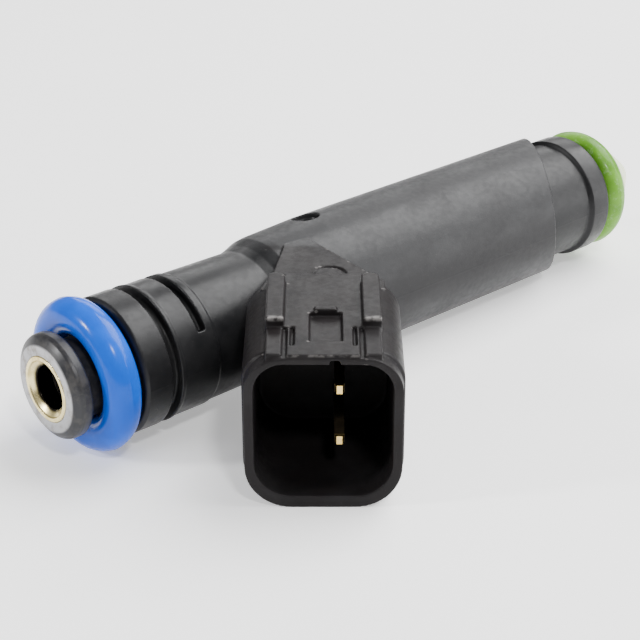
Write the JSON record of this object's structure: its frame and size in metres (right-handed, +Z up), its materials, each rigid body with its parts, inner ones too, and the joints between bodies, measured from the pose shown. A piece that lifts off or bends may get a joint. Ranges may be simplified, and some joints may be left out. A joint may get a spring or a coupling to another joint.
{
  "type": "fuel injector",
  "caption": "Top-feed fuel injector with a tilted two-pin connector, sealing rings at both ends, a spring-closed ball valve and a magnetic coil.",
  "frame": {"origin": "on the injector's axis, in the middle of the upper O-ring", "axes": "+X along the injector from the fuel inlet to the spray end, +Z up, the connector towards -Y and tilted back to the inlet"},
  "size_m": [0.0774, 0.0339, 0.0156],
  "materials": {
    "tube_steel": "machined and slightly dulled",
    "filter_brass": "satin",
    "filter_plastic": "translucent moulded",
    "inner_steel": "ground",
    "spring_steel": "drawn",
    "can_steel": "phosphated",
    "bobbin_plastic": "moulded",
    "copper_wire": "enamelled copper",
    "brown_rubber": "satin",
    "gold_contact": "plated",
    "black_plastic": "fine moulded texture, glass filled",
    "blue_rubber": "wet look",
    "green_rubber": "satin",
    "cap_plastic": "moulded"
  },
  "bodies": {
    "injector_body": {"inlet_tube": "tube_steel", "filter_ring": "filter_brass", "filter_cage": "filter_plastic", "filter_mesh": "filter_plastic", "adjusting_tube": "inner_steel", "pole_piece": "inner_steel", "nonmagnetic_sleeve": "inner_steel", "return_spring": "spring_steel", "valve_body": "inner_steel", "lift_shim": "inner_steel", "armature_guide": "inner_steel", "ball_guide": "inner_steel", "valve_seat": "inner_steel", "orifice_plate": "inner_steel", "plate_backup": "inner_steel", "coil_bobbin": "bobbin_plastic", "coil_winding": "copper_wire", "coil_housing": "can_steel", "flux_washer": "can_steel", "upper_coil_seal": "brown_rubber", "lower_coil_seal": "brown_rubber", "terminal_upper": "gold_contact", "terminal_lower": "gold_contact", "overmold": "black_plastic", "upper_o_ring": "blue_rubber", "lower_o_ring": "green_rubber", "o_ring_retainer": "black_plastic", "nozzle_cap": "cap_plastic"},
    "valve_needle": {"armature": "inner_steel", "needle_tube": "inner_steel", "valve_ball": "spring_steel"}
  },
  "joints": [
    {"name": "needle_lift", "type": "slide", "parent": "injector_body", "child": "valve_needle", "axis": [-1, 0, 0], "range_m": [0, 0.0001], "stiffness_N_per_m": 1200, "springref_m": -0.0025, "deforming": ["return_spring"]}
  ]
}
